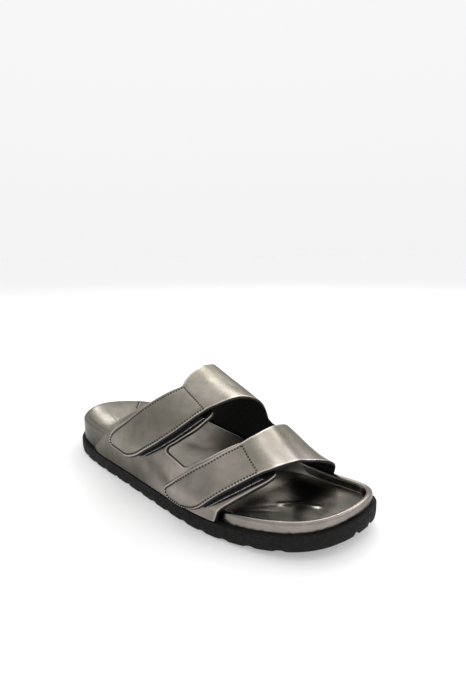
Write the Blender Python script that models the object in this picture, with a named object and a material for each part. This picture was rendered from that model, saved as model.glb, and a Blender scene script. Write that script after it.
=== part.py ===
"""Two-strap slide sandal for the right foot, put together as the real one is.

A black moulded outsole carries a contoured footbed, and a leather sock covers the footbed
and laps over its rim.  Two leather quarters stand on the sole round the footbed.  The inner
quarter runs over the foot as two straps that end in tabs.  The outer quarter ends in two
short stubs under the tabs.  A loop patch on each stub holds a hook patch under each tab.

The tables are in millimetres, measured from the back of the heel (forward), from the middle
of the heel (to the inner side of the foot) and from the ground (up).  The meshes are in
metres.  +X is the toe, +Y the inner side of the foot, +Z is up, and the origin is the middle
of the shoe's box on the ground.
"""
import math

import bmesh
import bpy
import numpy as np

MM = 0.001
GAP = 0.3
MERGE = 1e-5
SHARP_ANGLE = math.radians(40)

# Sole outline: the two ends, and rows of forward, outer edge and inner edge.
SOLE_LENGTH = 264.5
HEEL_BACK = (0.5, 2.0)
TOE_TIP = (264.0, 8.5)
OUTLINE = [
    (14.0, -24.2, 27.2),
    (45.0, -37.5, 36.5),
    (100.0, -43.0, 34.0),
    (150.0, -47.3, 37.0),
    (190.0, -48.7, 42.5),
    (226.0, -42.5, 41.0),
    (255.0, -25.0, 34.5),
]
OUTLINE_SAMPLES = 4000

# Outsole side: height, toe spring, heel lift, the draft of its lugs and its top edge.
SOLE_SIDE = 9.3
TOE_SPRING = 7.2
TOE_SPRING_START = 175.0
HEEL_LIFT = 2.0
HEEL_LIFT_START = 20.0
LUG_DRAFT = 0.8
LUG_DRAFT_HEIGHT = 3.2
TOP_EDGE_INSET = 0.5
TOP_EDGE_HEIGHT = 1.0

# Tread: wavy bars across the sole with a groove before each.
GROOVE_COUNT = 13
GROOVE_PITCH = 16.6
GROOVE_WIDTH = 8.0
GROOVE_RAMP = 3.4
GROOVE_DEPTH = 1.3
WAVE = 2.5
WAVE_HALVES = 3
WAVE_FADE = 30.0
TREAD_ACROSS = 9
PAD_STEPS = 7

# Footbed: the rims and the floor above the outsole's top, and the flat share of the floor.
HEIGHT_COLUMNS = ("forward", "outer_rim", "inner_rim", "floor", "flat_share")
HEIGHTS = [
    (0.0, 16.5, 16.5, 8.0, 0.30),
    (20.0, 17.5, 17.5, 6.5, 0.30),
    (60.0, 19.0, 20.0, 6.5, 0.30),
    (100.0, 17.5, 21.0, 8.5, 0.25),
    (140.0, 13.0, 17.0, 8.0, 0.30),
    (175.0, 8.5, 11.0, 4.7, 0.64),
    (205.0, 7.4, 8.0, 3.0, 0.78),
    (233.0, 7.0, 7.2, 2.8, 0.80),
    (265.0, 6.5, 6.5, 2.8, 0.80),
]
FOOTBED_INSET = 2.5
RIM_RADIUS = 2.2
RIM_STEPS = 4
SOCK_THICKNESS = 1.2
SOCK_LAP = 3.0
BASIN_SHAPE = 2.2
BASIN_STEPS = 4
SPINE_ENDS = (38.0, 224.0)
LOOP_POINTS = 88
UNDER_STEPS = (0.0, 0.4, 0.75, 1.0)

# Last: the crown and the ridge of the upper's outer face, and how full its sides are.
LAST_COLUMNS = ("forward", "crown", "ridge", "inner_fullness")
LAST = [
    (40.0, 88.4, 9.0, 3.6),
    (80.0, 87.4, 12.0, 3.6),
    (115.0, 82.9, 13.0, 3.6),
    (145.0, 72.0, 13.0, 3.0),
    (160.0, 66.0, 12.5, 2.7),
    (190.0, 49.7, 9.0, 2.5),
    (215.0, 34.1, 6.0, 2.5),
    (240.0, 28.0, 5.0, 2.5),
]
OUTER_FULLNESS = 1.8
WALL_SHARE = 0.14
GIRTH_SCALE = 170.0

# Upper: leather and hook-and-loop thickness, and each layer's height above the last.
LEATHER = 2.0
PATCH = 1.2
LOOP_HEIGHT = GAP
HOOK_HEIGHT = LOOP_HEIGHT + PATCH + GAP
TAB_HEIGHT = HOOK_HEIGHT + PATCH + GAP

# Straps, stubs and notches: girth is 0 at the outer welt, 0.5 at the crown, 1 at the inner welt.
EDGE_COLUMNS = ("girth", "rear", "front")
REAR_STRAP = [
    (0.070, 89.0, 121.0),
    (0.120, 94.9, 132.0),
    (0.190, 111.2, 146.5),
    (0.260, 123.2, 156.0),
    (0.330, 132.2, 160.8),
    (0.360, 135.2, 162.2),
    (0.390, 133.1, 163.9),
    (0.430, 130.6, 164.7),
    (0.480, 127.8, 165.0),
    (0.530, 126.4, 165.8),
    (0.580, 125.6, 167.0),
    (0.650, 120.5, 168.0),
    (0.750, 109.0, 167.5),
    (0.820, 98.0, 167.5),
    (0.900, 80.0, 168.0),
    (1.000, 54.0, 168.0),
]
FRONT_STRAP = [
    (0.037, 159.5, 185.0),
    (0.080, 161.6, 192.8),
    (0.120, 167.8, 198.0),
    (0.190, 178.3, 204.4),
    (0.255, 185.8, 208.6),
    (0.318, 190.0, 211.5),
    (0.345, 191.3, 212.7),
    (0.375, 191.9, 214.2),
    (0.415, 192.1, 215.1),
    (0.470, 191.5, 215.7),
    (0.525, 190.8, 216.6),
    (0.575, 190.2, 218.7),
    (0.620, 189.6, 220.2),
    (0.700, 188.0, 222.5),
    (0.820, 185.5, 223.5),
    (0.900, 184.0, 222.5),
    (1.000, 183.0, 220.5),
]
REAR_STUB = [
    (0.000, 48.0, 147.0),
    (0.090, 77.5, 147.0),
    (0.145, 89.5, 147.5),
    (0.180, 98.5, 149.5),
    (0.230, 111.0, 156.5),
    (0.310, 127.0, 164.0),
    (0.380, 135.0, 165.5),
]
FRONT_STUB = [
    (0.000, 170.0, 200.5),
    (0.100, 170.0, 204.5),
    (0.168, 170.5, 209.0),
    (0.190, 172.5, 210.2),
    (0.265, 181.5, 214.0),
    (0.360, 188.5, 216.8),
    (0.410, 191.5, 216.5),
]
INNER_NOTCH = 0.82
OUTER_NOTCH = 0.178
NOTCH_RADIUS = 3.5
TAB_RADIUS = 9.0
STUB_RADIUS = 5.0
RAMP_START = 0.55
RAMP_END = 0.36
LOOP_REAR_INSET = 2.5
LOOP_FRONT_INSET = -1.4
HOOK_REAR_INSET = 1.2
HOOK_FRONT_INSET = 0.6
PATCH_TOP = 0.335
LOOP_END_INSET = 3.5
HOOK_END_INSET = 1.5
PATCH_RADIUS = 6.0

# Grid of the sheets: cells, rows, and the digits by which points of two grids meet.
STRAP_CELLS = 5
NOTCH_CELLS = 2
QUARTER_CELLS = 4
STRAP_ROWS = 20
STUB_ROWS = 7
PATCH_ROWS = 8
CORNER_ROWS = 5
FLARE_ROWS = 4
FORWARD_DIGITS = 4
GIRTH_DIGITS = 6

# Colours: base colour, metallic, roughness.
PEWTER = ((0.33, 0.30, 0.27), 0.6, 0.38)
SOCK = ((0.27, 0.25, 0.23), 0.6, 0.32)
BLACK = ((0.02, 0.02, 0.022), 0.0, 0.85)
FUZZ = ((0.015, 0.015, 0.016), 0.0, 0.95)


def smooth(x, xs, ys):
    """A curve through the points (xs, ys) that doesn't swing past them."""
    xs = np.asarray(xs, float)
    ys = np.asarray(ys, float)
    x = np.clip(np.asarray(x, float), xs[0], xs[-1])
    step = np.diff(xs)
    slope = np.diff(ys) / step
    product = slope[:-1] * slope[1:]
    total = np.where(product > 0, slope[:-1] + slope[1:], 1.0)
    middle = np.where(product > 0, 2 * product / total, 0.0)
    tangent = np.concatenate([slope[:1], middle, slope[-1:]])
    k = np.clip(np.searchsorted(xs, x, side="right") - 1, 0, len(xs) - 2)
    t = (x - xs[k]) / step[k]
    start = (2 * t**3 - 3 * t**2 + 1) * ys[k] + (t**3 - 2 * t**2 + t) * step[k] * tangent[k]
    end = (3 * t**2 - 2 * t**3) * ys[k + 1] + (t**3 - t**2) * step[k] * tangent[k + 1]
    return start + end


def look_up(table, columns, name, place):
    """The named column of a table at a place of its first column."""
    rows = np.array(table)
    return smooth(place, rows[:, 0], rows[:, columns.index(name)])


def closed_spline(points, count):
    """A smooth closed curve through the points, as count points."""
    p = np.asarray(points, float)
    n = len(p)
    span = np.linalg.norm(np.roll(p, -1, 0) - p, axis=1) ** 0.5
    matrix = np.zeros((n, n))
    right = np.zeros((n, 2))
    for i in range(n):
        before, after = span[i - 1], span[i]
        following = (i + 1) % n
        matrix[i, i - 1] += after
        matrix[i, i] += 2 * (before + after)
        matrix[i, following] += before
        right[i] = 3 * (after * (p[i] - p[i - 1]) / before + before * (p[following] - p[i]) / after)
    tangent = np.linalg.solve(matrix, right)
    knots = np.concatenate([[0], np.cumsum(span)])
    s = np.linspace(0, knots[-1], count, endpoint=False)
    k = np.clip(np.searchsorted(knots, s, side="right") - 1, 0, n - 1)
    following = (k + 1) % n
    t = ((s - knots[k]) / span[k])[:, None]
    step = span[k][:, None]
    start = (2 * t**3 - 3 * t**2 + 1) * p[k] + (t**3 - 2 * t**2 + t) * step * tangent[k]
    end = (3 * t**2 - 2 * t**3) * p[following] + (t**3 - t**2) * step * tangent[following]
    return start + end


def outline_sides(inset):
    """The outer and the inner side of the sole's outline, heel to toe, moved in by inset."""
    outer = [(forward, edge) for forward, edge, _ in OUTLINE]
    inner = [(forward, edge) for forward, _, edge in OUTLINE]
    loop = closed_spline([HEEL_BACK] + outer + [TOE_TIP] + inner[::-1], OUTLINE_SAMPLES)
    along = np.roll(loop, -1, 0) - np.roll(loop, 1, 0)
    along /= np.linalg.norm(along, axis=1, keepdims=True)
    loop = loop + inset * np.stack([-along[:, 1], along[:, 0]], 1)
    loop = np.roll(loop, -int(np.argmin(loop[:, 0])), 0)
    toe = int(np.argmax(loop[:, 0]))
    return loop[:toe + 1], np.vstack([loop[toe:], loop[:1]])[::-1]


OUTER_SIDE, INNER_SIDE = outline_sides(0.0)
HEEL_X = OUTER_SIDE[0, 0]
TOE_X = OUTER_SIDE[-1, 0]


def side_at(side, x):
    """How far across a side of the outline lies at x."""
    return np.interp(x, side[:, 0], side[:, 1])


def lift(x):
    """The outsole's underside above the ground: toe spring and heel lift."""
    toe = np.clip((x - TOE_SPRING_START) / (SOLE_LENGTH - TOE_SPRING_START), 0, 1)
    heel = np.clip((HEEL_LIFT_START - x) / HEEL_LIFT_START, 0, 1)
    return TOE_SPRING * toe**2 + HEEL_LIFT * heel**2


def sole_top(x):
    """The outsole's top face."""
    return SOLE_SIDE + lift(x)


def height(name, x):
    """A column of the footbed's heights at x."""
    return look_up(HEIGHTS, HEIGHT_COLUMNS, name, x)


def last_face(x, girth):
    """The upper's outer face: a wall round the footbed, then an arch over the foot."""
    x, girth = np.broadcast_arrays(np.asarray(x, float), np.asarray(girth, float))
    outer = girth < 0.5
    side = np.where(outer, side_at(OUTER_SIDE, x), side_at(INNER_SIDE, x))
    rim = sole_top(x) + np.where(outer, height("outer_rim", x), height("inner_rim", x))
    base = sole_top(x) + GAP
    crown = look_up(LAST, LAST_COLUMNS, "crown", x)
    ridge = look_up(LAST, LAST_COLUMNS, "ridge", x)
    share = 1 - np.abs(2 * girth - 1)
    angle = np.clip((share - WALL_SHARE) / (1 - WALL_SHARE), 0, 1) * math.pi / 2
    power = 2 / np.where(outer, OUTER_FULLNESS, look_up(LAST, LAST_COLUMNS, "inner_fullness", x))
    across = ridge + (side - ridge) * np.cos(angle)**power
    wall = base + (rim - base) * share / WALL_SHARE
    arch = rim + (crown - rim) * np.sin(angle)**power
    return np.stack([x, across, np.where(share < WALL_SHARE, wall, arch)], -1)


def last(x, girth, depth):
    """A point at a height above the upper's outer face, along the face's normal."""
    reach = 0.5
    turn = 0.004
    along = last_face(x + reach, girth) - last_face(x - reach, girth)
    over = last_face(x, np.minimum(girth + turn, 1)) - last_face(x, np.maximum(girth - turn, 0))
    normal = np.cross(along, over)
    normal /= np.linalg.norm(normal, axis=-1, keepdims=True)
    return last_face(x, girth) + normal * np.asarray(depth)[..., None]


def make_object(name, points, faces, look):
    """A named mesh object with its own material, from points in millimetres."""
    colour, metallic, roughness = look
    work = bmesh.new()
    corners = [work.verts.new(point * MM) for point in np.asarray(points, float)]
    for face in faces:
        work.faces.new([corners[i] for i in face])
    bmesh.ops.remove_doubles(work, verts=work.verts, dist=MERGE)
    loose = [corner for corner in work.verts if not corner.link_faces]
    bmesh.ops.delete(work, geom=loose, context="VERTS")
    bmesh.ops.triangulate(work, faces=work.faces)
    bmesh.ops.recalc_face_normals(work, faces=work.faces)
    mesh = bpy.data.meshes.new(name)
    work.to_mesh(mesh)
    work.free()
    mesh.shade_smooth()
    mesh.set_sharp_from_angle(angle=SHARP_ANGLE)
    material = bpy.data.materials.new(name)
    material.use_nodes = True
    shader = material.node_tree.nodes["Principled BSDF"]
    shader.inputs["Base Color"].default_value = (*colour, 1.0)
    shader.inputs["Metallic"].default_value = metallic
    shader.inputs["Roughness"].default_value = roughness
    mesh.materials.append(material)
    thing = bpy.data.objects.new(name, mesh)
    bpy.context.collection.objects.link(thing)
    return thing


def ring_faces(rings, size):
    """Quads between rings of the same size, each ring closed."""
    faces = []
    for ring in range(rings - 1):
        for i in range(size):
            j = (i + 1) % size
            faces.append((ring * size + i, ring * size + j, (ring + 1) * size + j, (ring + 1) * size + i))
    return faces


def tread_stations():
    """Places along the sole, each with its share of the groove's depth there."""
    turns = np.linspace(0, math.pi / 2, PAD_STEPS)
    tread_start = HEEL_LIFT_START
    tread_end = tread_start + GROOVE_COUNT * GROOVE_PITCH - (GROOVE_PITCH - GROOVE_WIDTH)
    stations = [(HEEL_X + (tread_start - HEEL_X) * (1 - math.cos(turn)), 0.0) for turn in turns[:-1]]
    for groove in range(GROOVE_COUNT):
        start = tread_start + groove * GROOVE_PITCH
        stations.append((start, 0.0))
        stations.append((start + GROOVE_RAMP, 1.0))
        stations.append((start + GROOVE_WIDTH - GROOVE_RAMP, 1.0))
        stations.append((start + GROOVE_WIDTH, 0.0))
    stations += [(tread_end + (TOE_X - tread_end) * math.sin(turn), 0.0) for turn in turns[1:]]
    return stations


def make_outsole():
    """The moulded outsole, as sections across it from heel to toe."""
    insets = (LUG_DRAFT, 0.0, TOP_EDGE_INSET)
    sides = {inset: outline_sides(inset) for inset in insets}

    def edge(side, inset, x):
        line = sides[inset][side]
        share = (x - HEEL_X) / (TOE_X - HEEL_X)
        moved = line[0, 0] + share * (line[-1, 0] - line[0, 0])
        return moved, side_at(line, moved)

    points = []
    stations = tread_stations()
    for x, cut in stations:
        fade = np.clip(min(x - HEEL_X, TOE_X - x) / WAVE_FADE, 0, 1)
        outer = edge(0, LUG_DRAFT, x)
        inner = edge(1, LUG_DRAFT, x)
        for share in np.linspace(0, 1, TREAD_ACROSS):
            swing = WAVE * fade * math.sin(WAVE_HALVES * math.pi * share)
            forward = outer[0] + swing
            across = outer[1] + (inner[1] - outer[1]) * share
            points.append((forward, across, lift(forward) + cut * GROOVE_DEPTH))
        wall = [(0.0, lift(x) + LUG_DRAFT_HEIGHT), (0.0, sole_top(x) - TOP_EDGE_HEIGHT),
                (TOP_EDGE_INSET, sole_top(x))]
        points += [(*edge(1, inset, x), up) for inset, up in wall]
        points += [(*edge(0, inset, x), up) for inset, up in wall[::-1]]
    size = len(points) // len(stations)
    return make_object("outsole", points, ring_faces(len(stations), size), BLACK)


def footbed_loop():
    """The footbed's wall in plan as a loop, and for each point its place on the spine."""
    half = LOOP_POINTS // 2
    halves = []
    for side in outline_sides(FOOTBED_INSET):
        run = np.concatenate([[0], np.cumsum(np.linalg.norm(np.diff(side, axis=0), axis=1))])
        places = np.linspace(0, run[-1], half + 1)
        halves.append(np.stack([np.interp(places, run, side[:, 0]), np.interp(places, run, side[:, 1])], 1))
    outer, inner = halves
    middle = (outer + inner) / 2
    middle[:, 0] = np.clip(middle[:, 0], *SPINE_ENDS)
    rows = np.array(OUTLINE)
    middle[:, 1] = smooth(middle[:, 0], rows[:, 0], (rows[:, 1] + rows[:, 2]) / 2)
    is_outer = np.concatenate([np.ones(half + 1, bool), np.zeros(half - 1, bool)])
    wall = np.vstack([outer, inner[-2:0:-1]])
    spine = np.vstack([middle, middle[-2:0:-1]])
    return wall, spine, is_outer


def sock_profile(reach, rim, floor, flat_share):
    """The sock's top face from its lapped edge over the rim to the spine, as (inward, up)."""
    shoulder = rim - RIM_RADIUS
    profile = [(0.0, rim - SOCK_LAP)]
    for turn in np.linspace(0, math.pi, RIM_STEPS + 1):
        profile.append((RIM_RADIUS * (1 - math.cos(turn)), shoulder + RIM_RADIUS * math.sin(turn)))
    run = reach * (1 - flat_share) - 2 * RIM_RADIUS
    for share in np.linspace(0, 1, BASIN_STEPS + 1)[1:]:
        profile.append((2 * RIM_RADIUS + run * share, floor + (shoulder - floor) * (1 - share)**BASIN_SHAPE))
    profile.append((reach, floor))
    return np.array(profile)


def sunk(profile, depth):
    """A profile moved to its underside by depth, level at the spine and upright at the edge."""
    step = np.diff(profile, axis=0)
    normal = np.stack([step[:, 1], -step[:, 0]], 1)
    normal /= np.linalg.norm(normal, axis=1, keepdims=True)
    before = np.vstack([normal[:1], normal])
    after = np.vstack([normal, [(0.0, -1.0)]])
    before[-1] = (0.0, -1.0)
    both = before + after
    both *= 2 / np.sum(both * both, axis=1, keepdims=True)
    return profile + depth * both


def make_footbed_and_sock():
    """The footbed, and the leather sock that lies on it and laps over its rim."""
    wall, spine, is_outer = footbed_loop()
    sock_top, sock_under, core_top = [], [], []

    def place(start, end, profile):
        way = end - start
        reach = np.linalg.norm(way)
        plan = start + way * (profile[:, :1] / reach)
        return np.column_stack([plan, profile[:, 1] + sole_top(plan[:, 0])])

    for start, end, outer in zip(wall, spine, is_outer):
        reach = np.linalg.norm(end - start)
        rim = height("outer_rim" if outer else "inner_rim", start[0])
        profile = sock_profile(reach, rim, height("floor", end[0]), height("flat_share", start[0]))
        sock_top.append(place(start, end, profile))
        sock_under.append(place(start, end, sunk(profile, SOCK_THICKNESS)))
        core = sunk(profile, SOCK_THICKNESS + GAP)
        core[0, 1] -= GAP
        foot = [(end_share * reach, GAP) for end_share in UNDER_STEPS[::-1]]
        ledge = [(0.0, rim - SOCK_LAP - GAP)]
        core_top.append(place(start, end, np.vstack([foot, ledge, core])))
    size = len(wall)
    make_rings("insole", sock_top, sock_under, size, SOCK)
    rings = np.array(core_top).transpose(1, 0, 2)
    make_object("footbed", rings.reshape(-1, 3), ring_faces(len(rings), size), PEWTER)


def make_rings(name, top, under, size, look):
    """A closed sheet from two sets of profiles that share their edge."""
    upper = np.array(top).transpose(1, 0, 2)[::-1]
    lower = np.array(under).transpose(1, 0, 2)
    rings = np.vstack([upper, lower])
    return make_object(name, rings.reshape(-1, 3), ring_faces(len(rings), size), look)


def corner_inset(distance, radius):
    """How far a round corner draws an edge in, at a distance from the end."""
    rest = np.clip(radius - distance, 0, radius)
    return radius - math.sqrt(radius**2 - rest**2)


def end_rows(start, end, count, radius):
    """Girths from start to end with closer rows at the round corners, as (girth, inset)."""
    toward = math.copysign(1.0, end - start) / GIRTH_SCALE
    turns = [radius * (1 - math.cos(turn)) for turn in np.linspace(math.pi / 2, 0, CORNER_ROWS)]
    straight = np.linspace(start, end - radius * toward, count + 1)[:-1]
    rows = [(girth, 0.0) for girth in straight]
    rows += [(end - distance * toward, corner_inset(distance, radius)) for distance in turns]
    return rows


def strap_grid(table, rows, rear_flare, front_flare):
    """Places along the shoe and girths of a strap's grid, a row at a time."""
    grid_x, grid_g = [], []
    start = rows[0][0]
    for girth, inset in rows:
        flare = corner_inset(abs(girth - start) * GIRTH_SCALE, NOTCH_RADIUS)
        rear = look_up(table, EDGE_COLUMNS, "rear", girth) + inset - flare * rear_flare
        front = look_up(table, EDGE_COLUMNS, "front", girth) - inset + flare * front_flare
        grid_x.append(np.linspace(rear, front, STRAP_CELLS + 1))
        grid_g.append(np.full(STRAP_CELLS + 1, girth))
    return np.array(grid_x), np.array(grid_g)


def notch_rows(start, end, count, radius):
    """Rows of a strap that starts at a notch with round corners."""
    toward = math.copysign(1.0, end - start) / GIRTH_SCALE
    turns = [NOTCH_RADIUS * (1 - math.cos(turn)) for turn in np.linspace(0, math.pi / 2, FLARE_ROWS)]
    first = [(start + distance * toward, 0.0) for distance in turns]
    return first[:-1] + end_rows(first[-1][0], end, count, radius)


def quarter_grid(rear_table, front_table, rear_grid, front_grid, welt, notch):
    """The quarter under two straps, from the welt up to the notch."""
    grid_x, grid_g = [], []
    for girth in np.linspace(welt, notch, QUARTER_CELLS + 1):
        rear = look_up(rear_table, EDGE_COLUMNS, "rear", girth)
        front = look_up(front_table, EDGE_COLUMNS, "front", girth)
        row = np.concatenate([np.linspace(rear, rear_grid[0][0, -1], STRAP_CELLS + 1)[:-1],
                              np.linspace(rear_grid[0][0, -1], front_grid[0][0, 0], NOTCH_CELLS + 1)[:-1],
                              np.linspace(front_grid[0][0, 0], front, STRAP_CELLS + 1)])
        grid_x.append(row)
        grid_g.append(np.full(len(row), girth))
    return np.array(grid_x), np.array(grid_g)


def sheet(name, grids, under, thickness, look):
    """A closed sheet on the last from grids that join where their points meet."""
    outer, inner, quads, index = [], [], [], {}
    for grid_x, grid_g in grids:
        low = under(grid_g)
        low_points = last(grid_x, grid_g, low)
        high_points = last(grid_x, grid_g, low + thickness)
        numbers = np.zeros(grid_x.shape, int)
        for spot in np.ndindex(grid_x.shape):
            key = (round(float(grid_x[spot]), FORWARD_DIGITS), round(float(grid_g[spot]), GIRTH_DIGITS))
            if key not in index:
                index[key] = len(outer)
                outer.append(high_points[spot])
                inner.append(low_points[spot])
            numbers[spot] = index[key]
        for i in range(grid_x.shape[0] - 1):
            for j in range(grid_x.shape[1] - 1):
                quads.append((numbers[i, j], numbers[i, j + 1], numbers[i + 1, j + 1], numbers[i + 1, j]))
    count = len(outer)
    faces = list(quads) + [tuple(count + i for i in quad[::-1]) for quad in quads]
    edges = {(quad[k], quad[(k + 1) % 4]) for quad in quads for k in range(4)}
    for start, end in sorted(edges):
        if (end, start) not in edges:
            faces.append((end, start, count + start, count + end))
    return make_object(name, outer + inner, faces, look)


def tab_rise(girth):
    """The underside of the straps: on the foot at the crown, above the stubs at the tabs."""
    t = np.clip((RAMP_START - girth) / (RAMP_START - RAMP_END), 0, 1)
    return -LEATHER + (TAB_HEIGHT + LEATHER) * t**2 * (3 - 2 * t)


def level(depth):
    """A layer at one height above the last."""
    return lambda girth: np.full(np.shape(girth), depth)


def make_uppers():
    """The inner quarter with its straps and tabs, and the outer quarter with its stubs."""
    rear_end = REAR_STRAP[0][0]
    front_end = FRONT_STRAP[0][0]
    rear = strap_grid(REAR_STRAP, notch_rows(INNER_NOTCH, rear_end, STRAP_ROWS, TAB_RADIUS), 0, 1)
    front = strap_grid(FRONT_STRAP, notch_rows(INNER_NOTCH, front_end, STRAP_ROWS, TAB_RADIUS), 1, 0)
    quarter = quarter_grid(REAR_STRAP, FRONT_STRAP, rear, front, 1.0, INNER_NOTCH)
    sheet("upper_inner", [quarter, rear, front], tab_rise, LEATHER, PEWTER)

    rear_end = REAR_STUB[-1][0]
    front_end = FRONT_STUB[-1][0]
    rear = strap_grid(REAR_STUB, notch_rows(OUTER_NOTCH, rear_end, STUB_ROWS, STUB_RADIUS), 0, 1)
    front = strap_grid(FRONT_STUB, notch_rows(OUTER_NOTCH, front_end, STUB_ROWS, STUB_RADIUS), 1, 0)
    quarter = quarter_grid(REAR_STUB, FRONT_STUB, rear, front, 0.0, OUTER_NOTCH)
    sheet("upper_outer", [quarter, rear, front], level(-LEATHER), LEATHER, PEWTER)


def make_patches():
    """A loop patch on each stub and a hook patch under each tab."""
    kinds = {"loop": (LOOP_REAR_INSET, LOOP_FRONT_INSET, LOOP_END_INSET, LOOP_HEIGHT),
             "hook": (HOOK_REAR_INSET, HOOK_FRONT_INSET, HOOK_END_INSET, HOOK_HEIGHT)}
    for place, table in (("rear", REAR_STRAP), ("front", FRONT_STRAP)):
        for kind, (rear_inset, front_inset, end_inset, depth) in kinds.items():
            end = table[0][0] + end_inset / GIRTH_SCALE
            inset_table = [(girth, rear + rear_inset, front - front_inset) for girth, rear, front in table]
            rows = end_rows(PATCH_TOP, end, PATCH_ROWS, PATCH_RADIUS)
            grid = strap_grid(inset_table, rows, 0, 0)
            sheet(f"{kind}_patch_{place}", [grid], level(depth), PATCH, FUZZ)


def centre_on_ground():
    """Moves the meshes so that the origin is the middle of the whole box, on the ground."""
    things = list(bpy.context.collection.objects)
    spots = np.array([corner.co for thing in things for corner in thing.data.vertices])
    low, high = spots.min(0), spots.max(0)
    middle = (low + high) / 2
    for thing in things:
        for corner in thing.data.vertices:
            corner.co.x -= middle[0]
            corner.co.y -= middle[1]
            corner.co.z -= low[2]


for old in list(bpy.data.objects):
    bpy.data.objects.remove(old, do_unlink=True)
make_outsole()
make_footbed_and_sock()
make_uppers()
make_patches()
centre_on_ground()
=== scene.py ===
"""Dresses the two-strap slide sandal: leather, sock, sole, stitches, tape, camera and light.

The forms are those of the solids, on finer grids, with fine detail.  The tables are in
millimetres from the back of the heel, and place() takes them to the frame, in metres.
"""

import math

import bpy
import numpy as np
from mathutils import Matrix, Vector


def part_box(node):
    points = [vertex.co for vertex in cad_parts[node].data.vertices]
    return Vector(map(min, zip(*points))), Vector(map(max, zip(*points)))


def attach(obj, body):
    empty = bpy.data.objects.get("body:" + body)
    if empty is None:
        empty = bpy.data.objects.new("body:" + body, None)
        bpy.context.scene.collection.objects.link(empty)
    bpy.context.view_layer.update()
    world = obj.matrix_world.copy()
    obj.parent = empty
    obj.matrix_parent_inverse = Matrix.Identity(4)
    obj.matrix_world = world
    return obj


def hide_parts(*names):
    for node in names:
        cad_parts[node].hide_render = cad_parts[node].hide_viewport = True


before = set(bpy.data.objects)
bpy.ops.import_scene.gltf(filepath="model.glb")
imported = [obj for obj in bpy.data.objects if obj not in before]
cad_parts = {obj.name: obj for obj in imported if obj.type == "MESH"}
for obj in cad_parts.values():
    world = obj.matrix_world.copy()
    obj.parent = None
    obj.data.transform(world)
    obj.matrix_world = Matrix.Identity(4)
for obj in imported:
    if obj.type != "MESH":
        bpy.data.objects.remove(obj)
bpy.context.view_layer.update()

MM = 0.001
GAP = 0.3
FAR = 999.0
TINY = 1e-9
TINY_SQUARE = 1e-12
POINTS_AT_ONCE = 500

# Sole outline and side, as in the solids.
SOLE_LENGTH = 264.5
HEEL_BACK = (0.5, 2)
TOE_TIP = (264, 8.5)
OUTLINE = [
    (14, -24.2, 27.2), (45, -37.5, 36.5), (100, -43, 34), (150, -47.3, 37), (190, -48.7, 42.5),
    (226, -42.5, 41), (255, -25, 34.5),
]
OUTLINE_SAMPLES = 4000
SOLE_SIDE = 9.3
TOE_SPRING = 7.2
TOE_SPRING_START = 175
HEEL_LIFT = 2
HEEL_LIFT_START = 20
LUG_DRAFT = 0.8
LUG_DRAFT_HEIGHT = 3.2
GROOVE_COUNT = 14
GROOVE_PITCH = 16.6
GROOVE_WIDTH = 8
GROOVE_RAMP = 3.4
GROOVE_DEPTH = 1.3
GROOVE_EDGES = (0.65, 1.3)
GROOVE_EVENS_OUT = 6
END_STATIONS = 61
END_ROUND = 20
NOTCH_ZONE = 30
HEEL_NOTCHES = (-19, -8, 3, 14, 25)
TOE_NOTCHES = (-5, 9, 22)
NOTCH_WIDTH = 5.6
NOTCH_SLOPE = 1.6
NOTCH_DEPTH = 1.7
NOTCH_REACH = 7
NOTCH_STEP = 0.5
WAVE = 2.5
WAVE_HALVES = 3
WAVE_FADE = 30
# The sole's side from the ground up: inset, what the height starts from, and height.
SIDE_PROFILE = [
    (0.8, "ground", 0), (0.42, "ground", 0.35), (0.25, "ground", 1.2), (0, "lug", 0),
    (0, "top", -2.1), (0.22, "top", -1.75), (0.22, "top", -1.45), (0, "top", -1.1),
    (0.05, "top", -0.5), (0.25, "top", -0.12), (0.6, "top", 0),
]

# Footbed and sock: the solids' own, with a softer bowl at the heel.
HEIGHT_COLUMNS = ("forward", "outer_rim", "inner_rim", "floor", "outer_flat", "inner_flat", "bowl")
HEIGHTS = [
    (0, 16.5, 16.5, 7, 0.05, 0.05, 2.1), (20, 17.5, 17.5, 6.5, 0.25, 0.03, 2.1),
    (60, 19, 20, 6.5, 0.35, 0.08, 1.9), (100, 17.5, 21, 7.6, 0.1, 0.35, 1.8),
    (140, 13, 17, 7.8, 0.05, 0.4, 2.2), (160, 10.2, 13.5, 6, 0.1, 0.45, 2.2),
    (180, 8.2, 10.4, 3.4, 0.5, 0.62, 2.2), (205, 7.4, 8, 2.4, 0.85, 0.85, 2.2),
    (233, 7, 7.2, 1.4, 0.89, 0.89, 2.2), (265, 6.5, 6.5, 1.2, 0.89, 0.89, 2.2),
]
FOOTBED_INSET = 2.5
RIM_RADIUS = 2.2
TURN_ROUNDS = 8
LEAST_RUN = 1
SPINE_ENDS = (38, 224)
SPINE_EASE = 7

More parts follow.
